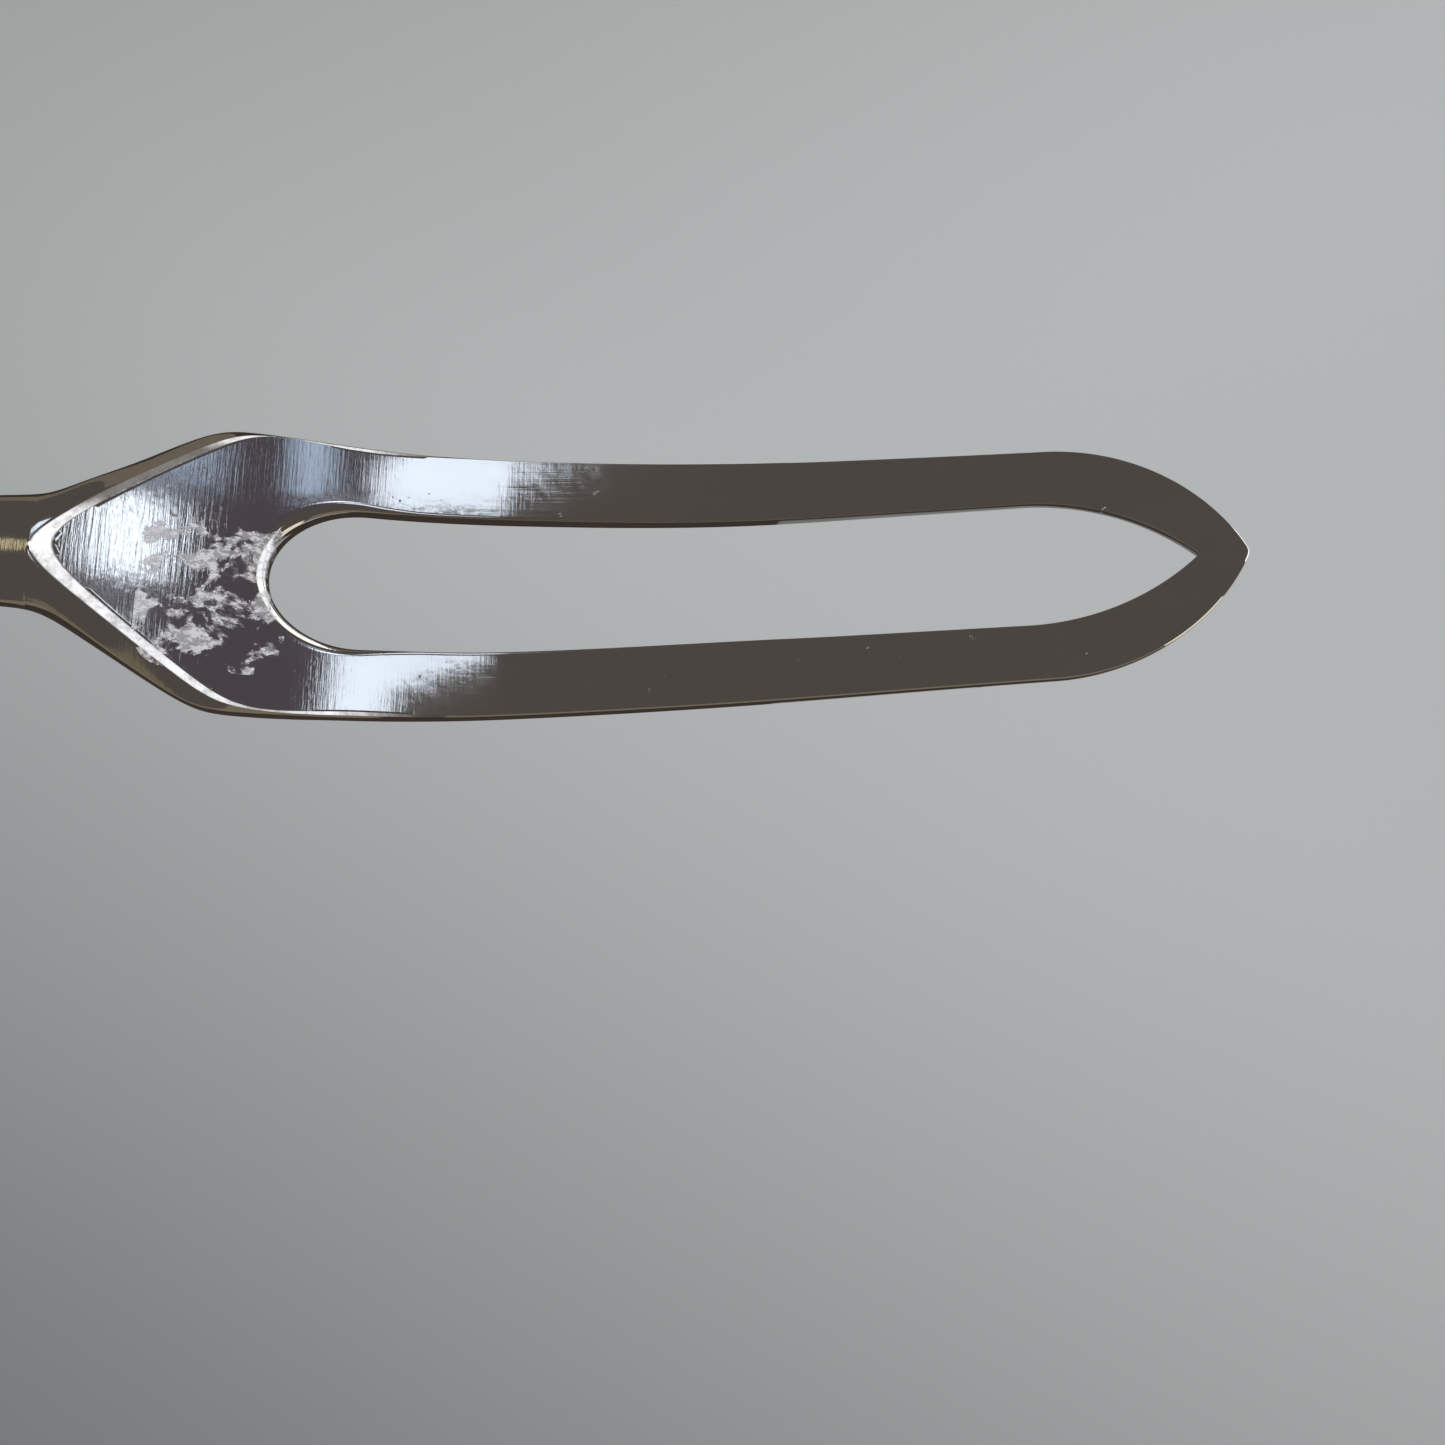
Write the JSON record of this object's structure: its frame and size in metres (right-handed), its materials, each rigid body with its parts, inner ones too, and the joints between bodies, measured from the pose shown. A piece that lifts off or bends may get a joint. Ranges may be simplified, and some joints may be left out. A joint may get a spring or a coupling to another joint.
{
  "type": "divot repair tool",
  "caption": "Divot repair tool with a pointed, slotted steel blade on a slim neck, a riveted two-scale handle and a magnetic ball marker that lifts off.",
  "frame": {"origin": "centre of the tool's length and width, on the plane of the handle's flat back", "axes": "+X along the tool towards the blade's point, +Y across the blade, +Z out of the face that carries the ball marker"},
  "size_m": [0.1119, 0.0276, 0.0096],
  "materials": {
    "polished_steel": "mirror polished, with fine brushing and water marks",
    "liner_fibre": "satin",
    "scale_wood": "oiled, close grain",
    "rivet_steel": "ground flush and brushed",
    "screw_steel": "plain",
    "magnet_nickel": "nickel plated",
    "marker_steel": "polished",
    "enamel_green": "glossy"
  },
  "bodies": {
    "tool": {"forged_blade": "polished_steel", "front_liner": "liner_fibre", "back_liner": "liner_fibre", "front_scale": "scale_wood", "back_scale": "scale_wood", "rivet_sleeves": "rivet_steel", "rivet_screws": "rivet_steel", "pocket_screws": "screw_steel", "magnet": "magnet_nickel"},
    "marker": {"marker_blank": "marker_steel", "marker_enamel": "enamel_green"}
  },
  "joints": [
    {"name": "marker_lift", "type": "slide", "parent": "tool", "child": "marker", "axis": [0, 0, 1], "range_m": [0, 0.015]}
  ]
}
